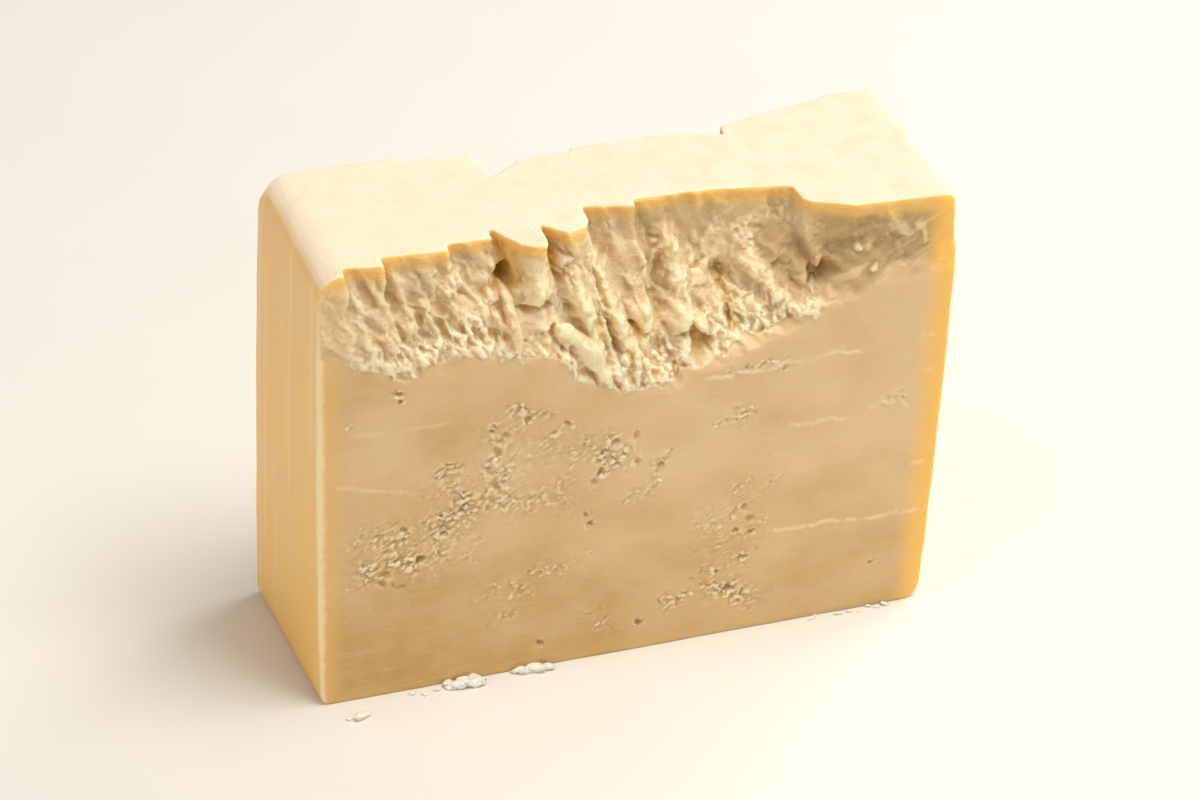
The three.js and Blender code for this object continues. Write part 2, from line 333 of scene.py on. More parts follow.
class Finish:
    """A procedural material: its node tree and the few ways of adding to it."""

    def __init__(self, name: str) -> None:
        """Starts an empty material.

        Args:
            name: The finish's name.
        """
        self.material = bpy.data.materials.new(name)
        self.material.use_nodes = True
        self.tree = self.material.node_tree
        self.tree.nodes.clear()

    def node(
        self, kind: str, settings: dict[str, Any] | None = None, sockets: dict[Any, Any] | None = None
    ) -> bpy.types.Node:
        """Adds a node.

        Args:
            kind: The node's type.
            settings: Its properties, set first.
            sockets: Values, signals or sockets for its inputs, by name or number.

        Returns:
            The new node.
        """
        node = self.tree.nodes.new(kind)
        for key, value in (settings or {}).items():
            setattr(node, key, value)
        for key, value in (sockets or {}).items():
            self._feed(node.inputs[key], value)
        return node

    def _feed(self, target: Socket, value: Any) -> None:
        """Links or sets one input.

        Args:
            target: The input socket.
            value: A signal, a socket, a number, a colour or a vector.
        """
        if isinstance(value, Signal):
            self.tree.links.new(value.socket, target)
        elif isinstance(value, Socket):
            self.tree.links.new(value, target)
        elif target.type == "RGBA":
            target.default_value = (*value, 1.0)
        else:
            target.default_value = value

    def _parts(self, vector: Socket, unit: float) -> tuple[Signal, Signal, Signal]:
        """Splits a vector into its three parts, each divided by a unit."""
        apart = self.node("ShaderNodeSeparateXYZ", {}, {0: vector})
        return tuple(Signal(self, part) * (1.0 / unit) for part in apart.outputs)

    def place(self) -> tuple[Socket, Signal, Signal, Signal]:
        """Where a point lies on the piece, and its x, y and z in millimetres."""
        where = self.node("ShaderNodeTexCoord").outputs["Object"]
        return where, *self._parts(where, MM)

    def facing(self) -> tuple[Signal, Signal, Signal]:
        """Which way the piece's own surface looks, as x, y and z."""
        return self._parts(self.node("ShaderNodeTexCoord").outputs["Normal"], 1.0)

    def turned(self, where: Socket, turn: float) -> Socket:
        """Turns coordinates about y by an angle in radians."""
        sockets = {"Vector": where, "Rotation": (0.0, turn, 0.0)}
        return self.node("ShaderNodeMapping", {}, sockets).outputs[0]

    def noise(self, where: Socket, size: Sequence[float], detail: float = 2.0) -> Signal:
        """Noise stretched along the axes.

        Args:
            where: The coordinates it reads.
            size: Its grain along x, y and z in millimetres.
            detail: How many finer sizes are added.

        Returns:
            The noise, about 0.5 on average.
        """
        scale = [1.0 / (s * MM) for s in size]
        mapped = self.node("ShaderNodeVectorMath", {"operation": "MULTIPLY"}, {0: where, 1: scale})
        sockets = {"Vector": mapped.outputs[0], "Scale": 1.0, "Detail": detail}
        return Signal(self, self.node("ShaderNodeTexNoise", {}, sockets).outputs["Fac"])

    def attribute(self, name: str) -> Signal:
        """Reads one of the piece's own marks."""
        return Signal(self, self.node("ShaderNodeAttribute", {"attribute_name": name}).outputs["Fac"])

    def mix(self, share: Number, first: Any, second: Any) -> Socket:
        """Mixes two colours, given how much of the second shows."""
        node = self.node("ShaderNodeMix", {"data_type": "RGBA"}, {0: share, 6: first, 7: second})
        return node.outputs[2]

    def bump(self, height: Signal, rise: float) -> Socket:
        """Turns a height in millimetres into a normal that is bent more or less strongly."""
        node = self.node("ShaderNodeBump", {}, {"Strength": rise, "Distance": MM, "Height": height})
        return node.outputs[0]

    def close(self, sockets: dict[str, Any]) -> bpy.types.Material:
        """Ends the material in one shader.

        Args:
            sockets: The shader's inputs.

        Returns:
            The finished material.
        """
        shader = self.node("ShaderNodeBsdfPrincipled", {}, sockets)
        self.node("ShaderNodeOutputMaterial", {}, {"Surface": shader.outputs[0]})
        return self.material


# What marks the two long faces


class LongFace(Enum):
    """The two cut and broken long faces of the slice."""

    FRONT = 1.0
    BACK = -1.0

    @property
    def inward(self) -> float:
        """Which way along y leads into the cheese."""
        return self.value


@dataclass(frozen=True)
class Ridge:
    """A rib or lump of curd left standing on a break. A height below zero is a hollow or crease."""

    path: tuple[Spot, ...]
    width: float
    height: float


@dataclass(frozen=True)
class Patch:
    """A soft-edged patch along a path on a long face."""

    path: tuple[Spot, ...]
    reach: float
    amount: float = 1.0


@dataclass(frozen=True)
class Pit:
    """One small opening on a cut face."""

    at: Spot
    size: float


@dataclass(frozen=True)
class Seam:
    """A fine line between pressed curds on a cut face."""

    start: Spot
    end: Spot
    sway: float = 0.7
    strength: float = 1.0


@dataclass(frozen=True)
class FaceMarks:
    """All that marks one long face. Spots are distances along the slice and heights, in millimetres.

    The break starts at the foot line and has ridges. It is smooth at the calms and came away clean like
    a shell at the shells, which are painted darker as shade under the rind. Its pale patches show paler
    curd and a painted highlight, and painted deep amber shade lies in its hollows, with light amber by
    the left rind. The knife tore the cut face at the tears.
    """

    foot: tuple[Spot, ...]
    ridges: tuple[Ridge, ...]
    calms: tuple[Patch, ...]
    shells: tuple[Patch, ...]
    creams_and_highlights: tuple[Patch, ...]
    stains: tuple[Patch, ...]
    tears: tuple[Patch, ...]
    pits: tuple[Pit, ...]
    seams: tuple[Seam, ...]


def each(kind: Any, *rows: tuple[Any, ...]) -> tuple[Any, ...]:
    """Makes a mark of one kind from every row of values."""
    return tuple(kind(*row) for row in rows)


FRONT_MARKS = FaceMarks(
    foot=(
        (0.0, 75.0), (4.0, 73.0), (7.0, 71.0), (11.0, 69.3), (15.0, 67.5), (19.0, 69.5),
        (24.0, 69.8), (33.0, 68.2), (41.0, 67.4), (44.5, 64.0), (48.0, 60.6), (52.0, 58.8),
        (57.0, 57.4), (62.0, 57.6), (68.0, 59.5), (74.0, 61.5), (79.0, 63.5), (84.0, 65.5),
        (89.0, 66.8), (95.0, 69.0), (105.0, 72.0), (118.0, 73.0),
    ),
    ridges=each(
        Ridge,
        (((44.2, 83.0), (47.6, 75.0), (50.6, 66.5)), 1.7, 1.5),
        (((52.4, 79.0), (53.5, 73.0), (56.2, 65.8)), 2.0, 2.0),
        (((66.2, 81.0), (67.1, 75.0), (67.3, 69.0)), 2.7, 1.6), (((60.4, 69.4),), 2.8, 2.6),
        (((66.8, 68.0),), 3.2, 2.4), (((70.2, 66.6),), 1.7, 1.2), (((67.6, 62.8),), 1.5, 1.8),
        (((80.4, 75.2), (83.8, 71.8), (89.0, 67.6)), 1.5, 0.6),
        (((82.4, 79.0), (86.6, 75.0), (91.0, 70.8)), 4.2, 1.3),
        (((31.0, 79.0), (33.6, 73.0), (34.0, 70.2)), 1.5, 1.3), (((24.4, 83.0),), 1.9, 1.2),
        (((41.8, 71.0), (46.0, 65.8), (49.2, 60.6)), 1.4, -1.4),
        (((38.4, 87.0), (39.4, 78.0)), 1.2, 0.9), (((39.2, 79.0),), 3.0, 1.5),
        (((37.2, 76.2), (41.4, 76.0)), 1.1, -1.2), (((35.6, 73.6), (39.6, 73.2)), 2.6, 0.9),
        (((45.4, 73.4), (49.8, 68.3), (52.9, 63.0)), 1.4, -0.9), (((76.6, 71.2),), 2.2, -1.4),
        (((76.8, 67.4), (77.4, 64.8)), 1.7, -1.4), (((70.2, 62.6),), 2.2, -3.4),
        (((91.8, 71.2), (93.6, 74.2)), 2.2, -2.3), (((89.6, 68.6), (91.6, 71.4)), 0.8, -1.4),
        (((33.7, 82.2), (34.2, 80.2)), 1.7, -1.7), (((43.4, 85.0),), 1.7, -1.6),
        (((57.6, 66.4),), 1.8, -0.8), (((99.0, 78.2),), 0.9, 0.8), (((101.4, 74.6),), 0.7, 0.6),
        (((92.5, 82.0), (95.0, 80.6), (99.0, 81.4)), 1.3, 0.35),
        (((105.0, 84.0), (107.4, 81.0)), 1.5, 0.6), (((110.6, 82.0), (111.0, 78.6)), 1.1, 0.45),
        (((95.0, 76.0), (101.0, 82.0), (106.0, 77.0)), 3.4, -1.0),
    ),
    calms=each(
        Patch,
        (((36.0, 74.0), (39.0, 73.0)), 5.5, 0.8), (((38.5, 84.0), (39.5, 80.0)), 4.5, 0.7),
        (((43.6, 72.2), (47.9, 67.0), (51.0, 61.6)), 2.4, 0.6),
        (((58.5, 80.0), (60.5, 74.0)), 4.5, 0.25), (((60.4, 69.4),), 2.8, 0.6),
        (((66.8, 68.0),), 3.2, 0.6), (((70.2, 61.4),), 3.4, 0.9),
        (((1.0, 86.0), (2.5, 74.0)), 5.5, 0.65),
    ),
    shells=each(
        Patch,
        (((84.8, 79.0), (88.8, 72.6)), 4.2, 0.95), (((63.0, 85.0), (86.0, 84.0)), 4.5, 0.45),
        (((98.0, 88.0), (98.0, 66.0)), 8.5), (((110.0, 88.0), (110.0, 66.0)), 11.0),
    ),
    # Paler curd, partly a painted highlight, on the ribs, lumps, finger, ledge and shard face.
    creams_and_highlights=each(
        Patch,
        (((43.4, 72.4), (47.7, 67.2), (50.8, 61.8)), 2.3, 1.1),
        (((35.6, 74.0), (39.6, 73.6)), 2.4, 0.5), (((39.6, 85.0), (39.3, 78.4)), 3.0),
        (((49.6, 84.0), (50.6, 80.0)), 1.6, 0.5), (((56.8, 83.0), (57.6, 80.0)), 1.3, 0.5),
        (((60.4, 69.6),), 2.8, 0.9), (((66.8, 68.4),), 3.2), (((70.2, 66.8),), 1.7, 0.8),
        (((67.6, 62.8),), 1.4, 0.9), (((66.2, 80.0), (67.1, 74.0)), 2.2, 0.8),
        (((46.4, 78.0), (47.9, 74.0), (50.8, 66.5)), 2.0, 0.75),
        (((52.6, 77.0), (53.7, 73.0), (56.4, 65.8)), 2.0, 0.75),
        (((80.6, 75.0), (83.6, 72.0), (89.0, 67.4)), 1.5, 0.45),
        (((8.0, 72.5), (14.0, 69.0), (21.0, 71.6), (33.0, 70.4)), 2.0, 0.45),
        (((99.0, 78.2),), 0.9, 0.9), (((101.4, 74.6),), 0.8, 0.9),
        (((105.0, 83.6), (107.4, 81.0)), 1.2, 0.5), (((110.6, 82.0), (111.0, 78.6)), 0.9, 0.5),
    ),
    # Painted deep amber shade in the hollows, notch and cavity of the break, with light amber by the
    # left rind.
    stains=each(
        Patch,
        (((1.0, 87.0), (1.0, 74.0)), 4.0, 0.2), (((34.2, 86.0), (35.4, 80.8)), 2.4, 0.9),
        (((33.6, 82.8), (34.0, 81.0)), 2.4), (((42.4, 87.4), (42.8, 82.0)), 1.8, 0.8),
        (((49.4, 73.6), (51.0, 68.4)), 1.2, 0.35), (((41.0, 69.0), (43.0, 65.8)), 1.5, 0.35),
        (((70.2, 62.6),), 1.9, 0.6), (((76.6, 71.3), (77.2, 65.2)), 1.8, 0.35),
        (((57.4, 67.6), (59.6, 66.0)), 1.4, 0.5), (((92.6, 72.6), (93.8, 74.6)), 2.0, 0.4),
    ),
    tears=each(
        Patch,
        (((32.0, 54.0), (31.5, 46.5), (33.5, 39.0)), 5.0), (((22.5, 47.5), (26.5, 38.5)), 4.0, 1.15),
        (((9.0, 35.5), (18.0, 34.0), (26.0, 38.0)), 6.5),
        (((7.5, 27.5), (14.0, 29.5), (20.0, 28.0)), 5.6, 1.1), (((34.0, 57.5), (40.5, 56.0)), 2.8, 0.9),
        (((36.0, 50.0), (52.0, 46.0)), 8.0, 0.65), (((22.0, 41.0), (44.0, 38.0)), 8.0, 0.65),
        (((10.0, 31.0), (26.0, 31.0)), 9.0, 0.65), (((72.0, 26.0), (78.0, 12.0)), 7.0, 0.5),
        (((42.0, 50.6), (45.5, 53.0)), 2.5, 0.9), (((43.5, 42.0), (45.0, 38.0)), 2.8, 0.7),
        (((50.5, 46.0), (55.5, 43.5)), 5.0, 1.15),
        (((62.5, 42.0), (61.0, 35.0), (57.5, 34.5)), 3.1, 0.9),
        (((38.0, 21.0), (48.0, 22.5)), 3.7, 0.8), (((30.0, 19.5), (38.0, 18.0)), 3.4, 0.8),
        (((75.0, 47.8), (79.0, 48.2)), 3.1, 0.95), (((78.0, 32.5), (81.0, 22.0)), 4.7, 0.7),
        (((80.0, 16.5), (73.0, 14.5)), 3.4, 0.9), (((66.0, 10.5), (77.5, 10.0), (83.0, 6.5)), 3.4, 1.1),
        (((32.0, 13.0), (36.0, 13.2)), 2.8, 0.7), (((50.5, 9.0), (55.0, 5.5)), 2.8, 0.9),
        (((105.5, 46.4), (109.0, 46.6)), 3.1, 0.85), (((84.0, 32.0), (90.0, 35.5)), 3.1, 0.5),
        (((74.0, 57.5), (88.0, 58.0)), 1.4, 0.9),
    ),
    pits=each(
        Pit,
        ((13.2, 65.0), 0.6), ((13.6, 63.4), 0.5), ((4.4, 59.8), 0.6), ((48.9, 32.6), 0.6),
        ((49.8, 30.3), 0.6), ((59.8, 6.3), 0.7), ((16.9, 32.2), 1.0), ((18.0, 28.6), 1.0),
        ((31.7, 54.2), 0.8), ((32.3, 51.6), 0.8), ((45.0, 52.9), 0.7), ((51.4, 41.1), 0.9),
        ((62.8, 40.4), 0.8), ((37.7, 55.3), 0.7), ((14.6, 36.3), 0.8), ((25.4, 37.9), 0.8),
        ((79.7, 16.7), 0.9), ((81.6, 22.2), 0.6), ((78.1, 22.9), 0.5), ((77.2, 9.9), 0.8),
        ((75.0, 47.9), 0.6), ((76.8, 47.6), 0.7), ((41.2, 5.6), 0.6), ((105.6, 10.3), 0.5),
    ),
    seams=each(
        Seam,
        ((70.0, 57.4), (102.0, 58.4)), ((86.5, 44.6), (99.5, 43.6)),
        ((102.4, 44.9), (108.4, 47.0), 0.3), ((108.0, 47.0), (110.2, 43.9), 0.2),
        ((84.0, 21.6), (115.0, 20.2)), ((4.0, 57.7), (23.0, 57.1), 0.4, 0.45),
        ((1.0, 47.9), (18.0, 42.9), 0.4, 0.55), ((111.2, 59.1), (115.0, 59.2), 0.2, 0.8),
        ((111.8, 51.3), (115.0, 51.4), 0.2, 0.8), ((111.6, 31.0), (115.0, 31.2), 0.2, 0.8),
    ),
)
BACK_MARKS = FaceMarks(
    foot=(
        (0.0, 84.0), (20.0, 81.0), (24.0, 76.0), (31.0, 73.0), (38.0, 70.5), (43.0, 70.0),
        (47.0, 65.0), (55.0, 61.5), (66.0, 61.0), (77.0, 63.5), (84.0, 69.0), (94.0, 75.0),
        (106.0, 82.0), (112.0, 92.0), (118.0, 96.0),
    ),
    ridges=each(
        Ridge,
        (((30.0, 84.0), (34.0, 75.0)), 2.0, 1.4), (((50.0, 80.0), (53.0, 68.0)), 2.2, 1.6),
        (((62.0, 82.0), (64.0, 66.0)), 2.0, 1.4), (((72.0, 74.0),), 2.6, 1.6),
        (((58.0, 70.0),), 2.2, -2.2), (((68.0, 68.0),), 2.0, -2.4), (((80.0, 76.0),), 2.2, -2.0),
        (((45.5, 76.0),), 1.8, -2.4),
    ),
    calms=each(
        Patch,
        (((40.5, 80.0),), 3.5, 0.6),
    ),
    shells=each(
        Patch,
        (((6.0, 86.0), (20.0, 84.0)), 7.0, 0.8), (((92.0, 84.0), (102.0, 84.0)), 7.0, 0.75),
    ),
    # Paler curd, partly a painted highlight, on the ribs and lumps.
    creams_and_highlights=each(
        Patch,
        (((31.0, 82.0), (34.0, 75.0)), 1.6, 0.6), (((50.0, 78.0), (53.0, 68.0)), 1.8, 0.6),
        (((62.6, 78.0), (64.0, 66.0)), 1.6, 0.6), (((72.0, 74.0),), 2.2, 0.7),
    ),
    # Painted deep amber shade in the hollows of the break.
    stains=each(
        Patch,
        (((40.6, 86.0), (41.4, 79.0)), 2.6, 0.8), (((58.0, 70.0),), 1.6, 0.6),
        (((68.0, 68.0),), 1.5, 0.6), (((82.6, 84.0), (83.4, 76.0)), 2.0, 0.7),
    ),
    tears=each(
        Patch,
        (((20.0, 44.0), (30.0, 38.0), (36.0, 40.0)), 4.4), (((14.0, 24.0), (22.0, 20.0)), 3.0, 0.9),
        (((58.0, 40.0), (66.0, 30.0), (72.0, 20.0)), 4.0), (((70.0, 46.0), (78.0, 44.0)), 2.6, 0.9),
        (((92.0, 28.0), (97.0, 17.0)), 3.6), (((44.0, 12.0), (54.0, 9.0)), 2.6, 0.9),
        (((96.0, 54.0), (104.0, 56.0)), 2.2, 0.8), (((34.0, 60.0), (40.0, 56.0)), 2.4, 0.9),
        (((22.0, 43.0), (42.0, 37.0)), 8.0, 0.62), (((58.0, 40.0), (74.0, 22.0)), 8.5, 0.62),
        (((90.0, 31.0), (99.0, 16.0)), 7.0, 0.6),
    ),
    pits=each(
        Pit,
        ((9.6, 60.4), 0.6), ((28.4, 41.0), 0.9), ((33.0, 38.4), 0.8), ((48.0, 30.0), 0.6),
        ((64.6, 33.0), 0.9), ((69.4, 24.6), 0.9), ((93.6, 24.2), 0.8), ((88.0, 9.4), 0.6),
        ((62.0, 52.4), 0.6), ((108.6, 41.0), 0.5),
    ),
    seams=each(
        Seam,
        ((12.0, 55.0), (40.0, 53.0)), ((50.0, 20.0), (84.0, 22.0)),
        ((88.0, 48.0), (112.0, 47.0), 0.5, 0.7), ((20.0, 30.0), (46.0, 31.0), 0.6, 0.6),
    ),
)
MARKS = {LongFace.FRONT: FRONT_MARKS, LongFace.BACK: BACK_MARKS}


# The slice


@dataclass(frozen=True)
class SliceForm:
    """Sizes of the slice in millimetres, measured from its front left base corner."""

    corner: Spot = (-57.67, -19.63)
    length: float = 116.0
    left_height: float = 91.0
    right_height: float = 87.0
    left_thickness: float = 36.5
    right_thickness: float = 40.0
    left_lean: float = 1.5
    right_lean: float = 1.0
    top_sag: float = 0.4
    end_bulge: float = 0.2
    bottom_left: float = 2.0
    bottom_right: float = 4.0
    top_right: float = 2.0
    top_left: float = 6.0

    def top(self, u: Any) -> Any:
        """Height of the rind at a distance along the slice."""
        fall = (self.right_height - self.left_height) / self.length
        return self.left_height + u * fall - self.top_sag

    def thickness(self, u: Any) -> Any:
        """Thickness at a distance along the slice."""
        gain = (self.right_thickness - self.left_thickness) / self.length
        return self.left_thickness + u * gain

    def from_left(self, u: Any, z: Any) -> Any:
        """Distance in from the left end."""
        return u + z * (self.left_lean / self.left_height) + self.end_bulge

    def from_right(self, u: Any, z: Any) -> Any:
        """Distance in from the right end."""
        return self.length + self.end_bulge + z * (self.right_lean / self.right_height) - u

    def local(self, points: Array) -> tuple[Array, Array, Array]:
        """Points in metres as millimetres along, into and up the slice."""
        x, y, z = points.T / MM
        return x - self.corner[0], y - self.corner[1], z

    def depth(self, face: LongFace, u: Any, into: Any) -> Any:
        """Distance behind the plane of one long face."""
        return into if face is LongFace.FRONT else self.thickness(u) - into

    def inset(self, u: Array, z: Array) -> Array:
        """Distance in from the rind, round its corners too.

        Args:
            u: Distances along the slice.
            z: Heights.

        Returns:
            The distances, up to the smallest corner radius where a corner is near.
        """
        left, right = self.from_left(u, z), self.from_right(u, z)
        over, under = z, self.top(u) - z
        inset = np.minimum(np.minimum(left, right), np.minimum(over, under))
        corners = (
            (left, under, self.top_left),
            (right, under, self.top_right),
            (left, over, self.bottom_left),
            (right, over, self.bottom_right),
        )
        for side, level, radius in corners:
            reach = np.hypot(np.maximum(radius - side, 0.0), np.maximum(radius - level, 0.0))
            inset = np.where(reach > 0.0, np.minimum(inset, radius - reach), inset)
        return inset


class Tally:
    """What every vertex of the slice carries for its finish: marks from 0 to 1."""

    NAMES = ("crag", "cavity", "torn", "hole", "stain", "shell", "cream_and_highlight")

    def __init__(self, count: int) -> None:
        """Starts a number of vertices with no marks."""
        self.values = {name: np.zeros(count) for name in self.NAMES}

    def mark(self, name: str, rows: Array, amount: Array) -> None:
        """Raises a mark of some vertices to an amount."""
        self.values[name][rows] = np.maximum(self.values[name][rows], amount)

    def store(self, mesh: bpy.types.Mesh) -> None:
        """Keeps the marks as attributes.

        Args:
            mesh: The mesh of the vertices.
        """
        for name, values in self.values.items():
            layer = mesh.attributes.new(name, "FLOAT", "POINT")
            layer.data.foreach_set("value", values.astype(np.float32))


class Surface:
    """What the finish reads at a point: its place on the slice, its marks and its grain.

    The ramps say how deep the rind and a cut face reach, in millimetres, and how squarely a point has
    to look to the front or back to belong to a cut face.
    """

    RIND_DEPTH = (3.2, 2.2)
    FACE_DEPTH = (1.2, 0.4)
    OFF_SQUARE = (0.74, 0.44)
    SQUARE = (0.74, 0.9)

    def __init__(self, mat: Finish, form: SliceForm, slant: float) -> None:
        """Adds the nodes that read all of it.

        Args:
            mat: The finish.
            form: The sizes of the slice.
            slant: How far the grain of the curd leans, in radians.
        """
        where, x, y, self.z = mat.place()
        _, sideways, self.up = mat.facing()
        self.level = abs(sideways)
        self.u, self.into = x - form.corner[0], y - form.corner[1]
        self.behind = form.depth(LongFace.BACK, self.u, self.into)
        self.left, self.right = form.from_left(self.u, self.z), form.from_right(self.u, self.z)
        self.under = form.top(self.u) - self.z
        self.crag, self.cavity, self.torn, self.hole, self.stain, self.shell, self.cream_and_highlight = (
            mat.attribute(name) for name in Tally.NAMES
        )
        slanted = mat.turned(where, slant)
        self.cloud = mat.noise(where, (16.0, 16.0, 12.0), 3.0)
        self.patch = mat.noise(where, (5.0, 5.0, 4.0), 3.0)
        self.speckle = mat.noise(where, (0.9, 0.9, 0.7), 3.0)
        self.waver = mat.noise(where, (4.5, 60.0, 60.0), 3.0)
        self.chop = mat.noise(slanted, (1.4, 1.4, 0.85), 3.0)
        self.swirl = mat.noise(slanted, (7.0, 7.0, 1.6), 3.0)
        self.drag = mat.noise(where, (9.0, 9.0, 0.55))
        self.streak = mat.noise(where, (40.0, 1.8, 60.0))
        self.grain = mat.noise(where, (0.55, 0.55, 0.55))
        self.cloth = mat.noise(where, (1.4, 1.4, 1.4))
        self.whole = 1.0 - self.crag
        inset = self.left.least(self.right).least(self.under).least(self.z)
        self.skin = self.level.step(*self.OFF_SQUARE) * inset.step(*self.RIND_DEPTH) * self.whole
        self.cut = (1.0 - self.skin) * self.whole
        self.rags = self.torn * self.cut
        self.seams = self._seams()

    def _seams(self) -> Signal:
        """Fine lines between pressed curds, broken by gaps.

        Returns:
            How much a point lies on one of them.
        """
        front = self._lines(FRONT_MARKS.seams) * self.into.step(*self.FACE_DEPTH)
        back = self._lines(BACK_MARKS.seams) * self.behind.step(*self.FACE_DEPTH)
        gaps = (self.patch + (self.speckle - 0.5) * 0.6).step(0.30, 0.56)
        return ((front + back) * self.cut).least(1.0) * gaps

    def _lines(self, seams: Sequence[Seam]) -> Signal:
        """Wavering lines without gaps.

        Args:
            seams: The lines of one cut face.

        Returns:
            How much a point lies on one of them.
        """
        total: Number = 0.0
        bend = self.waver - 0.5
        for seam in seams:
            (u0, z0), (u1, z1) = seam.start, seam.end
            slope, half = (z1 - z0) / (u1 - u0), 0.5 * (u1 - u0)
            line = bend.scaled(seam.sway * 4.0, self.u.scaled(slope, z0 - u0 * slope))
            window = abs(self.u - (u0 + half)).step(half + 0.5, half - min(2.5, 0.5 * half))
            total = (abs(self.z - line).step(0.75, 0.1) * window).scaled(seam.strength, total)
        return total


@dataclass(frozen=True)
class CheeseFinish:
    """Ivory paste that turns amber towards the rind, with flecks, seams and knife drag, and with painted
    shade and highlights on the breaks, the tears and the rind.
    """

    form: SliceForm
    paste: Colour = (0.58, 0.35, 0.102)
    paste_pale: Colour = (0.825, 0.61, 0.343)
    wall: Colour = (0.765, 0.578, 0.332)
    # Painted shade on the shell-like breaks, as under the overhanging rind.
    shell: Colour = (0.50, 0.342, 0.155)
    # Paler curd of the raised lumps, partly a painted highlight where light falls on them.
    ivory: Colour = (0.99, 0.86, 0.61)
    # Paler curd of ribs, lumps and the finger, partly a painted highlight where light falls.
    cream_and_highlight: Colour = (1.0, 0.835, 0.55)
    # Painted amber shade in the creases of the break.
    crease: Colour = (0.75, 0.54, 0.19)
    # Painted shade in the pits and torn hollows of the cut faces.
    pit_and_hollow_shade: Colour = (0.64, 0.42, 0.15)
    # Amber by the right end, partly a painted glow of light through the thin edge.
    amber: Colour = (1.0, 0.605, 0.14)
    crust: Colour = (0.85, 0.555, 0.17)
    # Deep amber painted as shade in the hollows, and as amber by the left rind.
    deep_amber_and_shade: Colour = (0.78, 0.465, 0.075)
    honey: Colour = (0.86, 0.55, 0.19)
    # Painted light: the lit top of the rind, paler than the shaded ends.
    rind_top_lit: Colour = (0.872, 0.745, 0.566)
    rind_top_lit_deep: Colour = (0.845, 0.695, 0.485)
    rind_end_shaded: Colour = (0.955, 0.565, 0.165)
    rind_end_shaded_pale: Colour = (0.91, 0.57, 0.22)
    # Pale flecks and seams, also a painted highlight on raised torn bits and the left front edge.
    fleck_and_highlight: Colour = (1.0, 0.825, 0.545)
    rub: Colour = (0.97, 0.72, 0.40)
    slant: float = 0.5
    scatter: float = 0.75
    scatter_tint: Colour = (1.0, 0.7, 0.4)
    scatter_depth: float = 2.6

    def material(self) -> bpy.types.Material:
        """Builds the material.

        Returns:
            The cheese material.
        """
        mat = Finish("cheese")
        at = Surface(mat, self.form, self.slant)
        body = self._paste(mat, at)
        body = self._ripened(mat, at, body)
        body = self._rind(mat, at, body)
        return mat.close(
            {
                "Base Color": self._flecks(mat, at, body),
                "Roughness": 0.44 + (at.speckle - 0.5) * 0.2 + at.crag * 0.14,
                "Normal": mat.bump(self._relief(at), 0.8),
                "IOR": 1.45,
                "Specular IOR Level": 0.35,
                "Subsurface Weight": self.scatter,
                "Subsurface Radius": self.scatter_tint,
                "Subsurface Scale": self.scatter_depth * MM,
            }
        )

    def _paste(self, mat: Finish, at: Surface) -> Socket:
        """Paste of the cut faces, painted paler up and to the right as painted light, and the break with
        its pale lumps, partly a painted highlight, with painted amber shade in its creases and painted
        shade under the rind.

        Args:
            mat: The finish.
            at: What it reads.

        Returns:
            The colour.
        """
        # Painted light: the paste is painted darker towards the bottom and the left and paler towards
        # the top and the right, where more light falls; the cloud gives a random tone.
        painted_light_gradient = at.z.step(4.0, 44.0) * 0.45 + at.u.step(10.0, 105.0) * 0.22
        tone_and_painted_light = ((at.cloud - 0.5) * 1.2 + painted_light_gradient + 0.28).least(1.0).most(0.0)
        body = mat.mix(tone_and_painted_light, self.paste, self.paste_pale)
        body = mat.mix((at.drag.step(0.4, 0.75) + at.patch.step(0.45, 0.7)) * 0.22, body, self.wall)
        # Raised curd of the break is painted ivory: partly paler curd, partly a painted highlight on the
        # lumps.
        pale = (at.cavity + (at.speckle - 0.5) * 0.7).step(0.60, 0.30) * (at.torn * 0.6 + 0.4)
        broken = mat.mix(pale, self.wall, self.ivory)
        # Painted shade: the concave creases of the break are painted amber.
        broken = mat.mix(at.cavity.step(0.56, 0.92) * 0.65, broken, self.crease)
        body = mat.mix(at.crag, body, broken)
        # Painted shade: the shell-like breaks are painted darker, streaked with the wall colour.
        smooth = mat.mix(at.swirl.step(0.5, 0.72) * 0.8, self.shell, self.wall)
        body = mat.mix(at.shell * 0.9, body, smooth)
        # Paler curd on ribs, lumps and the finger, partly a painted highlight.
        return mat.mix(at.cream_and_highlight * 0.85, body, self.cream_and_highlight)

    def _ripened(self, mat: Finish, at: Surface, body: Socket) -> Socket:
        """Amber towards the rind, most at the right end, where it is partly a painted glow of light
        through the thin edge, and painted deep amber shade in the hollows.

        Args:
            mat: The finish.
            at: What it reads.
            body: The colour so far.

        Returns:
            The colour.
        """
        rim = (at.cloud - 0.5) * 1.6 + (at.patch - 0.5) * 1.4 + (at.speckle - 0.5) * 1.2
        body = mat.mix((at.under + rim * 0.7).step(3.7, 1.5) * 0.88, body, self.crust)
        # Amber band by the right end, partly a painted glow of light through the thin edge.
        body = mat.mix((at.right + rim).step(6.6, 1.4) * 0.9, body, self.amber)
        # Painted shade: the hollows of the break are painted deep amber.
        body = mat.mix(at.stain * 0.85, body, self.deep_amber_and_shade)
        soft = ((at.left + rim).step(5.6, 0.8) * 0.6).most((at.z + rim).step(3.4, 0.4) * 0.35)
        return mat.mix(soft * at.whole, body, self.honey)

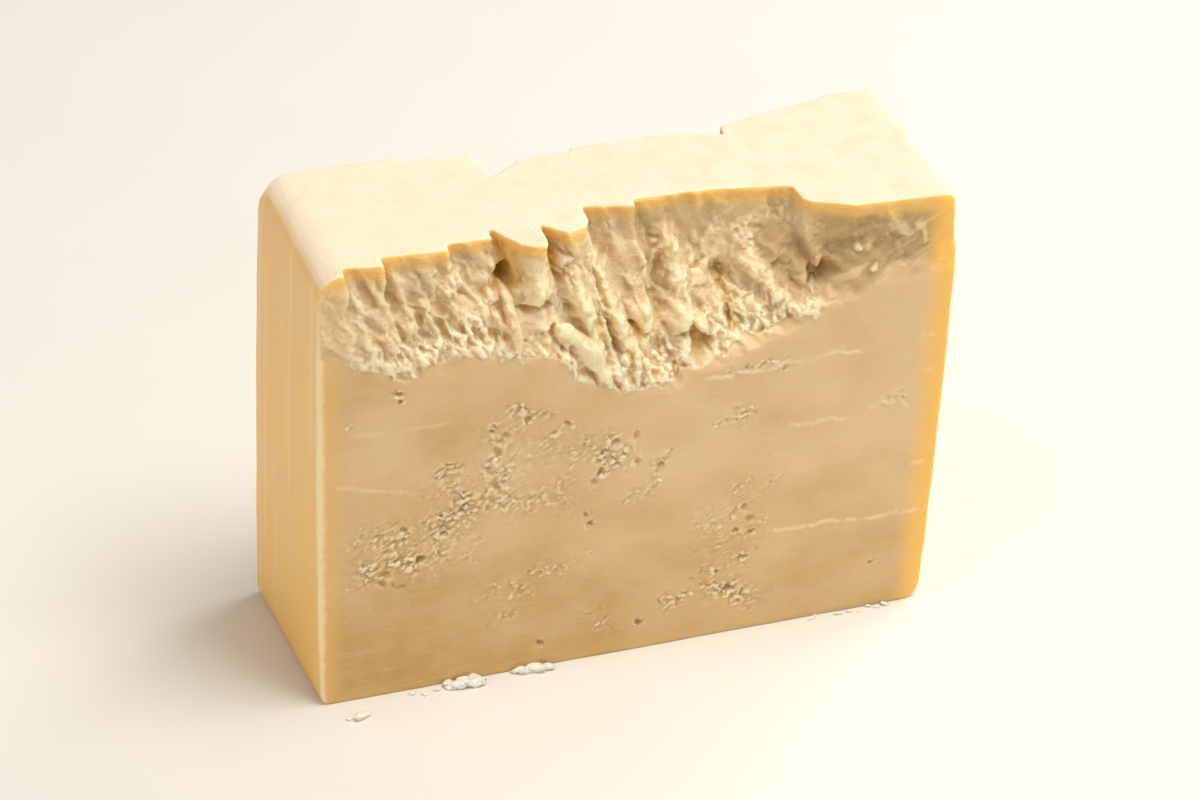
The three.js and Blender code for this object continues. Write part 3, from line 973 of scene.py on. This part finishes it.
    def _rind(self, mat: Finish, at: Surface, body: Socket) -> Socket:
        """Rind, painted pale on top where the light falls and straw in shade on the ends, with a pale
        left front edge that is partly a painted highlight and partly a paler outer rind.

        Args:
            mat: The finish.
            at: What it reads.
            body: The colour so far.

        Returns:
            The colour.
        """
        straw = (at.cloud + (at.z - 45.0) * 0.004).step(0.3, 0.75)
        end = mat.mix(straw, self.rind_end_shaded, self.rind_end_shaded_pale)
        end = mat.mix((at.streak + (at.speckle - 0.5) * 0.2).step(0.5, 0.72) * 0.4, end, self.rub)
        # Painted light: the rind is painted paler on top, where the light falls, than on the shaded
        # ends.
        lit_crown = mat.mix(at.patch.step(0.42, 0.75), self.rind_top_lit, self.rind_top_lit_deep)
        body = mat.mix(at.skin, body, mat.mix(at.up.step(0.25, 0.75), end, lit_crown))
        ragged = (at.patch - 0.5) * 1.2 + (at.speckle - 0.5) * 0.8
        # Pale left front edge: partly a painted highlight where the light catches it, partly a paler
        # outer rind.
        edge = (at.left + ragged).step(1.5, 0.1) * (at.into + ragged).step(1.5, 0.1) * at.whole
        return mat.mix(edge * 0.75, body, self.fleck_and_highlight)

    def _flecks(self, mat: Finish, at: Surface, body: Socket) -> Socket:
        """Small openings, torn flecks and seams of the cut faces, with painted shade in the pits and
        torn hollows and a painted highlight on raised torn bits.

        Args:
            mat: The finish.
            at: What it reads.
            body: The colour so far.

        Returns:
            The colour.
        """
        # Painted shade and highlight on the tears: hollows and pits are painted darker, raised torn bits
        # paler, partly real pale flecks.
        painted_shading = at.cavity + (at.speckle - 0.5) * 0.3 - (at.chop - 0.5) * 0.6
        torn_hollow_shade, shreds_and_highlight = painted_shading.step(0.54, 0.78) * at.rags, painted_shading.step(0.50, 0.36) * at.rags
        body = mat.mix((torn_hollow_shade * 0.5).most(at.hole * 0.36), body, self.pit_and_hollow_shade)
        body = mat.mix((shreds_and_highlight * 0.9 + at.seams * 0.6).least(1.0), body, self.fleck_and_highlight)
        return mat.mix(at.speckle.step(0.62, 0.8) * 0.16 * at.cut, body, self.fleck_and_highlight)

    def _relief(self, at: Surface) -> Signal:
        """Knife drag, the grain of the break and the torn spots, finer than the mesh.

        Args:
            at: What it reads.

        Returns:
            The height in millimetres.
        """
        relief = at.level.step(*at.SQUARE) * at.drag * 0.12 + at.grain * at.crag.scaled(0.4, 0.04)
        relief = at.cloth.scaled(at.crag.scaled(0.2, 0.05), relief) + at.shell * at.swirl * 0.5
        return (at.speckle * 0.5 + at.chop * 0.7 - 0.6).scaled(at.torn * at.whole, relief)


@dataclass(frozen=True)
class CurdSizes:
    """Width, depth and height in millimetres of the forms that a break is made of."""

    facet: Triple = (5.5, 5.5, 10.0)
    strand: Triple = (3.0, 3.0, 11.0)
    strip: Triple = (1.9, 1.9, 5.2)
    lump: Triple = (3.4, 3.4, 3.9)
    crumb: Triple = (1.3, 1.3, 2.2)
    shard: Triple = (1.5, 1.5, 2.6)
    flute: Triple = (5.6, 5.6, 22.0)
    chip: Triple = (1.4, 0.9, 0.85)


@dataclass
class CheeseSlice:
    """The slice of cheese: its fine mesh, its broken crags and its marks.

    A swell, and what makes a foot ragged or a mark stray, is a pair: the size of its noise and how far
    it moves things, in millimetres.
    """

    form: SliceForm = field(default_factory=SliceForm)
    sizes: CurdSizes = field(default_factory=CurdSizes)
    voxel: float = 0.31
    triangles: int = 192_000
    crag_rounds: int = 4
    edge_rounds: int = 1
    crumb_rounds: int = 1
    cavity_rounds: int = 16
    cavity_gain: float = 1.1
    flute_slant: Spot = (0.55, 0.15)
    swells: tuple[Spot, ...] = ((17.0, 0.16), (5.0, 0.05))
    ragged: Spot = (3.2, 1.3)
    stray: Spot = (2.6, 0.8)
    proud: float = 0.3
    cut_depth: float = 0.9
    base_band: float = 0.4
    seed: int = 8

    def build(self, node: bpy.types.Object) -> bpy.types.Object:
        """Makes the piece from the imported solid.

        Args:
            node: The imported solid.

        Returns:
            The dressed piece.
        """
        piece = self._fine_copy(node)
        self._shape(piece)
        self._thin(piece)
        piece.data.materials.clear()
        piece.data.materials.append(CheeseFinish(self.form).material())
        piece.data.shade_smooth()
        return piece

    def _fine_copy(self, node: bpy.types.Object) -> bpy.types.Object:
        """Copies a solid into an even fine mesh.

        Args:
            node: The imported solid.

        Returns:
            The new object.
        """
        bm = bmesh.new()
        bm.from_mesh(node.data)
        bmesh.ops.remove_doubles(bm, verts=bm.verts, dist=1e-6)
        piece = make_object("cheese", bm)
        remesh = piece.modifiers.new("even", "REMESH")
        remesh.mode = "VOXEL"
        remesh.voxel_size = self.voxel * MM
        self._apply(piece)
        return piece

    def _apply(self, piece: bpy.types.Object) -> None:
        """Makes modifiers part of the mesh.

        Args:
            piece: The piece that has them.
        """
        graph = bpy.context.evaluated_depsgraph_get()
        mesh = bpy.data.meshes.new_from_object(piece.evaluated_get(graph))
        piece.modifiers.clear()
        old, piece.data = piece.data, mesh
        bpy.data.meshes.remove(old)

    def _rows(self, piece: bpy.types.Object, what: str) -> Array:
        """Reads a piece's vertices or their normals.

        Args:
            piece: The piece.
            what: The vertices' property, co or normal.

        Returns:
            One row for each vertex.
        """
        values = np.empty(len(piece.data.vertices) * 3)
        piece.data.vertices.foreach_get(what, values)
        return values.reshape(-1, 3)

    def _put(self, piece: bpy.types.Object, points: Array) -> None:
        """Moves a piece's vertices."""
        piece.data.vertices.foreach_set("co", points.ravel())
        piece.data.update()

    def _broken(self, face: LongFace, points: Array) -> tuple[Array, Array]:
        """Where one long face broke away.

        Args:
            face: Which long face.
            points: Points in metres.

        Returns:
            From 0 on rind and cut face to 1 on the break, and how far each point is above its foot.
        """
        u, y, z = self.form.local(points)
        depth = self.form.depth(face, u, y)
        foot = np.interp(u, *np.array(MARKS[face].foot).T)
        size, rise = self.ragged
        above = z - foot + rise * Curd(self.seed + 3).fractal(np.stack((u, y, z), axis=1) / size, 3)
        near = smoothstep(0.56, 0.46, depth / self.form.thickness(u))
        broken = smoothstep(-0.2, 0.3, above) * near * smoothstep(0.25, 0.8, self.form.inset(u, z))
        return broken, above

    def _cover(self, patches: Sequence[Patch], u: Array, z: Array, core: float = 0.5) -> Array:
        """How much patches cover points of a long face.

        Args:
            patches: The patches.
            u: Distances along the slice.
            z: Heights.
            core: The share of a patch's reach that it covers fully.

        Returns:
            From 0 outside to each patch's amount inside.
        """
        cover = np.zeros(len(u))
        for patch in patches:
            near = smoothstep(patch.reach, core * patch.reach, path_distance(u, z, patch.path))
            cover = np.maximum(cover, patch.amount * near)
        return cover

    def _stray(self, u: Array, z: Array) -> tuple[Array, Array]:
        """Bends places on a long face a little, so that what is drawn there comes out uneven.

        Args:
            u: Distances along the slice.
            z: Heights.

        Returns:
            The bent distances and heights.
        """
        curd, (size, reach) = Curd(self.seed + 5), self.stray
        where = np.stack((u, np.zeros(len(u)), z), axis=1) / size
        return u + reach * curd.fractal(where, 3), z + reach * curd.fractal(where + 40.0, 3)

    def _relief(self, u: Array, y: Array, z: Array, above: Array, crest: Array) -> tuple[Array, Array]:
        """Facets, strands and grains of a break.

        Args:
            u: Distances along the slice.
            y: Distances into it.
            z: Heights.
            above: Heights over the foot of the break.
            crest: How much each point lies on a rib.

        Returns:
            How far each point moves out, in millimetres, and how grainy it is, from 0 to 1.
        """
        curd = Curd(self.seed)
        where = np.stack((u, y, z), axis=1)
        bend = np.stack([curd.fractal(where / 4.0 + shift, 2) for shift in (3.0, 13.0, 23.0)], axis=1)
        place = where + 0.7 * bend
        left_slant, right_slant = self.flute_slant
        slant = left_slant + (right_slant - left_slant) * smoothstep(12.0, 68.0, u)
        place[:, 0] += slant * (z - self.form.top(u))
        facet, lean = curd.flakes(place / self.sizes.facet + 11.0)
        strands = curd.ridged(place / self.sizes.strand + 4.0, 3)
        strip, tilt = curd.flakes(place / self.sizes.strip + 31.0)
        lump, dome = curd.flakes(place / self.sizes.lump + 51.0)
        crumb = curd.ridged(place / self.sizes.crumb + 57.0, 2)
        shard, slope = curd.flakes(place / self.sizes.shard + 91.0)
        flute = curd.ridged(place / self.sizes.flute + 83.0, 1)
        middle = smoothstep(44.0, 54.0, u) * smoothstep(80.0, 70.0, u)
        leftward, high = smoothstep(48.0, 34.0, u), smoothstep(4.0, 11.0, above)
        low = smoothstep(9.0, 2.5, above)
        grainy = np.maximum(low, smoothstep(0.15, 0.7, curd.noise(where / 7.0 + 71.0)))
        grainy = np.maximum(grainy, 0.55 * crest)
        stringy = np.maximum(grainy * (1.0 - 0.5 * high), leftward * (1.0 - 0.65 * high))
        relief = 0.9 * lean + 0.5 * (facet - 0.5) + (0.35 + 0.65 * stringy) * 0.8 * (strands - 0.4)
        relief += leftward * high * 1.3 * (flute - 0.4)
        relief += stringy * (1.0 - middle) * (0.8 * (strip - 0.45) + 0.7 * tilt)
        relief += grainy * middle * (1.6 * (np.sqrt(lump) - 0.6) + 0.4 * dome)
        relief += (0.3 + 0.7 * grainy) * 0.3 * (crumb - 0.4)
        relief += (0.4 + 0.6 * grainy) * (0.55 * slope + 0.25 * (shard - 0.5))
        return relief * (0.17 + 0.68 * smoothstep(1.2, 3.6, self.form.top(u) - z)), grainy

    def _ridges(self, face: LongFace, u: Array, z: Array) -> tuple[Array, Array]:
        """Ribs and hollows of a break.

        Args:
            face: Which long face.
            u: Distances along the slice.
            z: Heights.

        Returns:
            How far each point moves out of the face, in millimetres, and how much it lies on a rib.
        """
        total, crest = np.zeros(len(u)), np.zeros(len(u))
        where = np.stack((u, np.full(len(u), face.inward), z), axis=1)
        uneven = np.clip(0.95 + 0.8 * Curd(self.seed + 7).fractal(where / 2.8, 2), 0.2, 1.6)
        for ridge in MARKS[face].ridges:
            dome = np.clip(1.0 - (path_distance(u, z, ridge.path) / ridge.width) ** 2, 0.0, 1.0)
            dome = np.sqrt(dome) if len(ridge.path) == 1 else dome * uneven
            total += ridge.height * dome
            crest = np.maximum(crest, dome * np.clip(ridge.height, 0.0, 1.0))
        return total, crest

    def _tears(self, face: LongFace, points: Array) -> tuple[Array, Array, Array]:
        """Torn patches and small pits of a cut face.

        Args:
            face: Which long face.
            points: Points in metres.

        Returns:
            How torn each point is and how much it lies in a pit, from 0 to 1, and how far it moves in,
            in millimetres.
        """
        u, _, z = self.form.local(points)
        curd = Curd(self.seed + (20 if face is LongFace.FRONT else 40))
        level = np.full(len(u), face.inward)
        slanted = np.stack((0.86 * u + 0.5 * z, level, 0.86 * z - 0.5 * u), axis=1)
        uneven = curd.fractal(slanted / 2.4 + 17.0, 3)
        torn = self._cover(MARKS[face].tears, u + 2.0 * uneven, z + 1.6 * uneven, 0.0)
        pit = np.zeros(len(u))
        for spot in MARKS[face].pits:
            out = np.hypot(u - spot.at[0], 1.3 * (z - spot.at[1])) / spot.size + 1.3 * uneven
            pit = np.maximum(pit, smoothstep(1.0, 0.3, out))
            torn = np.maximum(torn, smoothstep(2.6, 1.2, out))
        torn *= 0.45 + 0.55 * smoothstep(-0.35, 0.25, curd.noise(slanted / 3.2 + 29.0))
        chip, lean = curd.flakes(slanted / self.sizes.chip + 0.3 * uneven[:, None] + 43.0)
        return torn, pit, torn * (0.14 + 0.62 * lean - 0.26 * chip) + 0.6 * pit

    def _shape(self, piece: bpy.types.Object) -> None:
        """Gives the breaks their crags, the cut faces their tears and the rind its unevenness.

        Args:
            piece: The fine copy of the solid, whose marks are stored as attributes.
        """
        web = Web(piece.data)
        points = self._worn(web, self._rows(piece, "co"))
        self._put(piece, points)
        normals = self._rows(piece, "normal")
        where = np.stack(self.form.local(points), axis=1)
        curd = Curd(self.seed)
        out = sum(rise * curd.noise(where / size) for size, rise in self.swells)
        moved = points + normals * (out * MM)[:, None]
        marks = Tally(len(points))
        for face in LongFace:
            broken = self._break_up(face, points, normals, moved, marks)
            self._tear_up(face, points, broken, moved, marks)
        moved = web.soften(moved, self.crumb_rounds, marks.values["crag"])
        base = where[:, 2] < self.base_band
        moved[base, 2] = np.maximum(moved[base, 2], 0.0)
        self._put(piece, moved)
        # Concavity of the surface; the finish paints shade in the creases from it and highlights on
        # raised curd and torn bits.
        inward = web.soften(moved, self.cavity_rounds) - moved
        hollow = np.einsum("ij,ij->i", inward, self._rows(piece, "normal")) / MM
        marks.values["cavity"] = np.clip(0.5 + self.cavity_gain * hollow, 0.0, 1.0)
        marks.store(piece.data)

    def _worn(self, web: Web, points: Array) -> Array:
        """Rounds off the facets of the solid, most of all on the breaks below the rind.

        Args:
            web: The edges between the points.
            points: Points in metres.

        Returns:
            The rounded points.
        """
        wall = sum(self._broken(face, points)[0] for face in LongFace)
        u, _, z = self.form.local(points)
        points = web.soften(points, self.crag_rounds, wall * smoothstep(1.0, 4.0, self.form.top(u) - z))
        return web.soften(points, self.edge_rounds)

    def _break_up(
        self, face: LongFace, points: Array, normals: Array, moved: Array, marks: Tally
    ) -> Array:
        """Moves the points of one break to crags, ribs and hollows, and marks them.

        Args:
            face: Which long face.
            points: Points in metres.
            normals: Their normals.
            moved: Where they go, changed in place.
            marks: Their marks, changed in place.

        Returns:
            How much each point lies on the break, from 0 to 1.
        """
        every, height = self._broken(face, points)
        rows = np.flatnonzero(every > 0.01)
        broken, above = every[rows], height[rows]
        u, y, z = self.form.local(points[rows])
        given, bent = MARKS[face], self._stray(u, z)
        shell = self._cover(given.shells, *bent)
        calm = np.maximum(self._cover(given.calms, *bent), shell)
        rib, crest = self._ridges(face, *bent)
        relief, grainy = self._relief(u, y, z, above, crest)
        share = broken * smoothstep(-0.2, 1.2, above)
        moved[rows] += normals[rows] * (share * relief * (1.0 - 0.92 * calm) * MM)[:, None]
        moved[rows, 1] -= face.inward * share * rib * MM
        limit = np.minimum(-self.proud, self.form.depth(face, u, y) - self.proud)
        self._hold_back(face, moved, rows, limit)
        marks.mark("crag", rows, broken * (1.0 - 0.8 * shell))
        marks.mark("shell", rows, broken * shell * smoothstep(-1.0, 5.0, above))
        marks.mark("cream_and_highlight", rows, broken * self._cover(given.creams_and_highlights, *bent, 0.3))
        marks.mark("torn", rows, broken * grainy * (1.0 - calm))
        marks.mark("stain", rows, broken * self._cover(given.stains, *bent, 0.2))
        return every

    def _tear_up(self, face: LongFace, points: Array, broken: Array, moved: Array, marks: Tally) -> None:
        """Moves the torn points of one cut face and marks them.

        Args:
            face: Which long face.
            points: Points in metres.
            broken: How much each lies on the break.
            moved: Where they go, changed in place.
            marks: Their marks, changed in place.
        """
        u, y, z = self.form.local(points)
        depth = self.form.depth(face, u, y)
        flat = np.flatnonzero((depth < self.cut_depth) & (broken < 0.5) & (z > 1.0))
        ragged, pit, sunk = self._tears(face, points[flat])
        keep = (1.0 - broken[flat]) * smoothstep(self.cut_depth, 0.4, depth[flat])
        marks.mark("torn", flat, ragged * keep)
        marks.mark("hole", flat, pit * keep)
        moved[flat, 1] += face.inward * keep * sunk * MM

    def _hold_back(self, face: LongFace, points: Array, rows: Array, limit: Array) -> None:
        """Keeps the lumps of a break from standing far out of the cut face or over the rind.

        Args:
            face: Which long face.
            points: Points in metres, moved in place.
            rows: Which of them lie on the break.
            limit: The least depth of each.
        """
        u, y, _ = self.form.local(points[rows])
        points[rows, 1] += face.inward * np.maximum(limit - self.form.depth(face, u, y), 0.0) * MM
        points[rows, 2] = np.minimum(points[rows, 2], (self.form.top(u) - self.proud) * MM)

    def _thin(self, piece: bpy.types.Object) -> None:
        """Joins the triangles of even places, down to the slice's budget.

        Args:
            piece: The shaped piece.
        """
        faces = sum(len(face.vertices) - 2 for face in piece.data.polygons)
        thin = piece.modifiers.new("thin", "DECIMATE")
        thin.ratio = min(1.0, self.triangles / faces)
        self._apply(piece)


# Crumbs


@dataclass(frozen=True)
class CrumbGroup:
    """A few crumbs that fell together on the surface."""

    at: Spot
    spread: Spot
    count: int
    radius: Spot


@dataclass
class Crumbs:
    """Dry white crumbs at the foot of the slice."""

    form: SliceForm = field(default_factory=SliceForm)
    white: Colour = (0.99, 0.97, 0.90)
    ivory: Colour = (0.90, 0.83, 0.68)
    seed: int = 17
    groups: tuple[CrumbGroup, ...] = (
        CrumbGroup((27.5, -1.2), (3.6, 0.7), 9, (0.7, 1.7)),
        CrumbGroup((39.0, -1.0), (2.6, 0.6), 6, (0.6, 1.4)),
        CrumbGroup((19.0, -1.6), (3.0, 0.7), 4, (0.3, 0.7)),
        CrumbGroup((5.0, -5.0), (2.0, 1.0), 2, (0.5, 1.1)),
        CrumbGroup((102.0, -0.8), (8.0, 0.4), 8, (0.25, 0.6)),
    )

    def build(self) -> bpy.types.Object:
        """Makes all crumbs as one piece.

        Returns:
            The dressed crumbs.
        """
        rng = np.random.default_rng(self.seed)
        bm = bmesh.new()
        for group in self.groups:
            for _ in range(group.count):
                self._crumb(bm, rng, group)
        bmesh.ops.recalc_face_normals(bm, faces=bm.faces)
        piece = make_object("crumbs", bm)
        piece.data.materials.append(self._finish())
        piece.data.shade_smooth()
        return piece

    def _crumb(self, bm: bmesh.types.BMesh, rng: np.random.Generator, group: CrumbGroup) -> None:
        """Adds one flat, uneven crumb that lies on the surface.

        Args:
            bm: The mesh it joins.
            rng: Draws its size and place.
            group: The group it belongs to.
        """
        radius = rng.uniform(*group.radius)
        made = bmesh.ops.create_icosphere(bm, subdivisions=2, radius=radius * MM)["verts"]
        grain = Curd(int(rng.integers(1 << 16)))
        for vert in made:
            vert.co *= 1.0 + 0.6 * float(grain.noise(np.array([vert.co]) / (0.9 * radius * MM))[0])
        squash = Vector((rng.uniform(1.0, 2.0), rng.uniform(0.6, 0.9), rng.uniform(0.35, 0.6)))
        bmesh.ops.scale(bm, vec=squash, verts=made)
        heading = Matrix.Rotation(rng.uniform(-0.6, 0.6), 3, "Z")
        tilt = Matrix.Rotation(rng.uniform(-0.3, 0.3), 3, "Y")
        bmesh.ops.rotate(bm, cent=(0.0, 0.0, 0.0), matrix=heading @ tilt, verts=made)
        low = min(vert.co.z for vert in made)
        along, out = rng.normal(size=2) * 0.6 * np.array(group.spread)
        x = self.form.corner[0] + group.at[0] + along
        y = self.form.corner[1] + min(group.at[1] + out, -0.1 - 0.7 * radius)
        bmesh.ops.translate(bm, vec=Vector((x * MM, y * MM, -low)), verts=made)

    def _finish(self) -> bpy.types.Material:
        """Builds the crumbs' dry white material.

        Returns:
            The material.
        """
        mat = Finish("crumb")
        where = mat.place()[0]
        grain = mat.noise(where, (0.6, 0.6, 0.6), 3.0)
        return mat.close(
            {
                "Base Color": mat.mix(grain.step(0.35, 0.65), self.ivory, self.white),
                "Roughness": grain * 0.2 + 0.55,
                "Normal": mat.bump(grain * 0.3, 0.8),
                "Subsurface Weight": 0.2,
                "Subsurface Radius": (1.0, 0.6, 0.3),
                "Subsurface Scale": 0.001,
            }
        )


# Studio


@dataclass(frozen=True)
class Softbox:
    """One soft light: where it stands, what it looks at, and how strong and large it is."""

    name: str
    at: Triple
    power: float
    size: float
    colour: Colour
    aim: Triple = (0.0, 0.0, 0.045)


@dataclass
class Studio:
    """Pale floor, soft light and the camera at the photograph's viewing angle."""

    eye: Triple = (-0.2649, -0.6782, 0.5378)
    aim: Triple = (0.0005, 0.0, 0.0425)
    pitch: float = math.radians(34.64)
    yaw: float = math.radians(16.25)
    lens: float = 146.0
    sensor: float = 36.0
    lights: tuple[Softbox, ...] = (
        Softbox("overhead", (0.20, -0.16, 0.92), 6.9, 0.5, (1.0, 0.985, 0.95)),
        Softbox("left", (-0.85, -0.25, 0.40), 1.9, 0.6, (1.0, 0.95, 0.87)),
        Softbox("right_back", (0.75, 0.35, 0.30), 3.5, 0.4, (1.0, 0.95, 0.86)),
        Softbox("front_right", (0.55, -0.85, 0.45), 1.0, 0.5, (1.0, 0.97, 0.92)),
    )
    air: Colour = (1.0, 0.965, 0.91)
    air_strength: float = 0.31
    floor_reach: float = 4.0
    floor_deep: Colour = (0.83, 0.79, 0.73)
    floor_pale: Colour = (0.86, 0.82, 0.765)

    def build(self) -> None:
        """Makes the floor, the lights, the air and the camera."""
        self._floor()
        for box in self.lights:
            self._light(box)
        self._air()
        self._camera()

    def _floor(self) -> None:
        """Lays a wide pale floor."""
        bm = bmesh.new()
        bmesh.ops.create_grid(bm, x_segments=2, y_segments=2, size=self.floor_reach)
        floor = make_object("floor", bm)
        mat = Finish("floor")
        where = mat.place()[0]
        mottle = mat.noise(where, (40.0, 40.0, 40.0))
        colour = mat.mix(mottle, self.floor_deep, self.floor_pale)
        floor.data.materials.append(mat.close({"Base Color": colour, "Roughness": 0.7}))

    def _light(self, box: Softbox) -> None:
        """Sets up one soft light.

        Args:
            box: The light.
        """
        data = bpy.data.lights.new(box.name, "AREA")
        data.energy = box.power
        data.size = box.size
        data.color = box.colour
        lamp = bpy.data.objects.new(box.name, data)
        lamp.location = box.at
        lamp.rotation_euler = (Vector(box.aim) - Vector(box.at)).to_track_quat("-Z", "Y").to_euler()
        bpy.context.collection.objects.link(lamp)

    def _air(self) -> None:
        """Fills the room with even pale light."""
        world = bpy.data.worlds.new("studio")
        world.use_nodes = True
        sky = world.node_tree.nodes["Background"]
        sky.inputs["Color"].default_value = (*self.air, 1.0)
        sky.inputs["Strength"].default_value = self.air_strength
        bpy.context.scene.world = world
        bpy.context.scene.view_settings.view_transform = "Standard"

    def _camera(self) -> None:
        """Stands the camera where the photograph was taken, turned to the slice."""
        cp, sp = math.cos(self.pitch), math.sin(self.pitch)
        cy, sy = math.cos(self.yaw), math.sin(self.yaw)
        ahead = Vector((sy * cp, cy * cp, -sp))
        look = (Vector(self.aim) - Vector(self.eye)).normalized()
        turn = ahead.rotation_difference(look)
        right = turn @ Vector((cy, -sy, 0.0))
        up = turn @ Vector((sy * sp, cy * sp, cp))
        data = bpy.data.cameras.new("camera")
        data.lens = self.lens
        data.sensor_width = self.sensor
        data.clip_start = 0.01
        camera = bpy.data.objects.new("camera", data)
        stand = Matrix((right, up, -look)).transposed().to_4x4()
        stand.translation = self.eye
        camera.matrix_world = stand
        bpy.context.collection.objects.link(camera)
        bpy.context.scene.camera = camera


def main() -> None:
    """Builds the slice, its crumbs and the studio."""
    logging.basicConfig(level=logging.INFO, format="%(name)s: %(message)s")
    cheese = CheeseSlice().build(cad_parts["cheese_piece"])
    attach(cheese, "root")
    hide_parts("cheese_piece")
    LOG.info("slice: %d triangles", len(cheese.data.polygons))
    crumbs = Crumbs().build()
    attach(crumbs, "root")
    LOG.info("crumbs: %d faces", len(crumbs.data.polygons))
    Studio().build()


if __name__ == "__main__":
    main()
